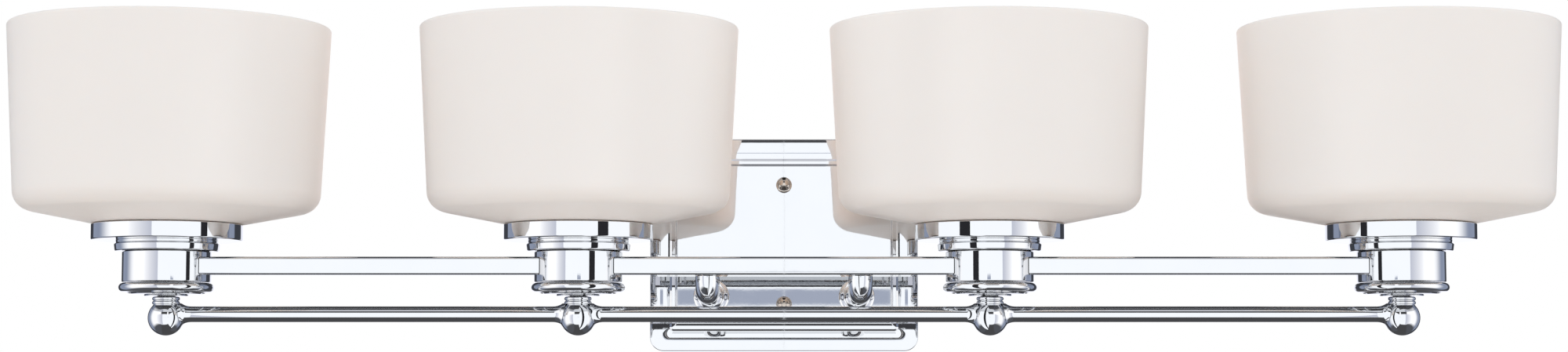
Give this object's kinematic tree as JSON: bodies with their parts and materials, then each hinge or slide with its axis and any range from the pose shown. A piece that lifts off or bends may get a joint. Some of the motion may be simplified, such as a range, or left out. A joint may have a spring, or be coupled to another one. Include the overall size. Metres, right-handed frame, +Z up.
{
  "type": "vanity light bar",
  "caption": "Wall light with open-topped opal glass drum shades in stepped chrome cups, joined by a flat upper bar and a round lower bar on a rectangular canopy.",
  "frame": {"origin": "middle of the mounting strap's wall face, which lies in the wall plane behind the middle of the canopy", "axes": "+X along the bars, to the right for someone facing the light; +Y into the wall; +Z up"},
  "size_m": [0.8636, 0.2032, 0.1792],
  "materials": {
    "chrome": "mirror-polished chrome plate",
    "opal_glass": "opaque white opal glass, satin-etched outside",
    "bulb_glass": "soft-white frosted glass",
    "porcelain": "glazed white",
    "brass": "rolled thread, satin",
    "aluminium": "turned, clear",
    "zinc_steel": "zinc-plated steel",
    "green_steel": "green-dyed zinc",
    "wire_sleeve": "matt black sleeving"
  },
  "bodies": {
    "fixture": {"shade_holder_1": "chrome", "lampholder_1": "porcelain", "cup_base_1": "chrome", "finial_ball_1": "chrome", "lamp_stud_1": "zinc_steel", "socket_cup_1": "chrome", "shade_holder_2": "chrome", "lampholder_2": "porcelain", "cup_base_2": "chrome", "finial_ball_2": "chrome", "lamp_stud_2": "zinc_steel", "socket_cup_2": "chrome", "shade_holder_3": "chrome", "lampholder_3": "porcelain", "cup_base_3": "chrome", "finial_ball_3": "chrome", "lamp_stud_3": "zinc_steel", "socket_cup_3": "chrome", "shade_holder_4": "chrome", "lampholder_4": "porcelain", "cup_base_4": "chrome", "finial_ball_4": "chrome", "lamp_stud_4": "zinc_steel", "socket_cup_4": "chrome", "upper_bar_left": "chrome", "lower_bar_left": "chrome", "upper_bar_middle": "chrome", "lower_bar_middle": "chrome", "upper_bar_right": "chrome", "lower_bar_right": "chrome", "backplate": "chrome", "mounting_strap": "zinc_steel", "ground_screw": "green_steel", "canopy_stud_upper": "zinc_steel", "canopy_stud_lower": "zinc_steel", "support_arm_left": "chrome", "arm_nut_left": "zinc_steel", "lead_wire_left": "wire_sleeve", "support_arm_right": "chrome", "arm_nut_right": "zinc_steel", "lead_wire_right": "wire_sleeve"},
    "shade_1": {"glass_shade_1": "opal_glass"},
    "ring_1": {"shade_ring_1": "aluminium"},
    "bulb_1": {"bulb_glass_1": "bulb_glass", "bulb_cap_1": "brass"},
    "shade_2": {"glass_shade_2": "opal_glass"},
    "ring_2": {"shade_ring_2": "aluminium"},
    "bulb_2": {"bulb_glass_2": "bulb_glass", "bulb_cap_2": "brass"},
    "shade_3": {"glass_shade_3": "opal_glass"},
    "ring_3": {"shade_ring_3": "aluminium"},
    "bulb_3": {"bulb_glass_3": "bulb_glass", "bulb_cap_3": "brass"},
    "shade_4": {"glass_shade_4": "opal_glass"},
    "ring_4": {"shade_ring_4": "aluminium"},
    "bulb_4": {"bulb_glass_4": "bulb_glass", "bulb_cap_4": "brass"},
    "canopy_nut_upper": {"cap_nut_upper": "chrome"},
    "canopy_nut_lower": {"cap_nut_lower": "chrome"}
  },
  "joints": [
    {"name": "shade_1_lift", "type": "slide", "parent": "fixture", "child": "shade_1", "axis": [0, 0, 1], "range_m": [0, 0.125]},
    {"name": "ring_1_unscrew", "type": "hinge", "parent": "shade_1", "child": "ring_1", "pos_m": [-0.3429, -0.1143, 0.012], "axis": [0, 0, 1], "continuous": true},
    {"name": "bulb_1_unscrew", "type": "hinge", "parent": "fixture", "child": "bulb_1", "pos_m": [-0.3429, -0.1143, 0.028], "axis": [0, 0, 1], "continuous": true},
    {"name": "shade_2_lift", "type": "slide", "parent": "fixture", "child": "shade_2", "axis": [0, 0, 1], "range_m": [0, 0.125]},
    {"name": "ring_2_unscrew", "type": "hinge", "parent": "shade_2", "child": "ring_2", "pos_m": [-0.1143, -0.1143, 0.012], "axis": [0, 0, 1], "continuous": true},
    {"name": "bulb_2_unscrew", "type": "hinge", "parent": "fixture", "child": "bulb_2", "pos_m": [-0.1143, -0.1143, 0.028], "axis": [0, 0, 1], "continuous": true},
    {"name": "shade_3_lift", "type": "slide", "parent": "fixture", "child": "shade_3", "axis": [0, 0, 1], "range_m": [0, 0.125]},
    {"name": "ring_3_unscrew", "type": "hinge", "parent": "shade_3", "child": "ring_3", "pos_m": [0.1143, -0.1143, 0.012], "axis": [0, 0, 1], "continuous": true},
    {"name": "bulb_3_unscrew", "type": "hinge", "parent": "fixture", "child": "bulb_3", "pos_m": [0.1143, -0.1143, 0.028], "axis": [0, 0, 1], "continuous": true},
    {"name": "shade_4_lift", "type": "slide", "parent": "fixture", "child": "shade_4", "axis": [0, 0, 1], "range_m": [0, 0.125]},
    {"name": "ring_4_unscrew", "type": "hinge", "parent": "shade_4", "child": "ring_4", "pos_m": [0.3429, -0.1143, 0.012], "axis": [0, 0, 1], "continuous": true},
    {"name": "bulb_4_unscrew", "type": "hinge", "parent": "fixture", "child": "bulb_4", "pos_m": [0.3429, -0.1143, 0.028], "axis": [0, 0, 1], "continuous": true},
    {"name": "cap_nut_upper_unscrew", "type": "hinge", "parent": "fixture", "child": "canopy_nut_upper", "pos_m": [0, -0.034, 0.03492], "axis": [0, -1, 0], "continuous": true},
    {"name": "cap_nut_lower_unscrew", "type": "hinge", "parent": "fixture", "child": "canopy_nut_lower", "pos_m": [0, -0.034, -0.03492], "axis": [0, -1, 0], "continuous": true}
  ]
}
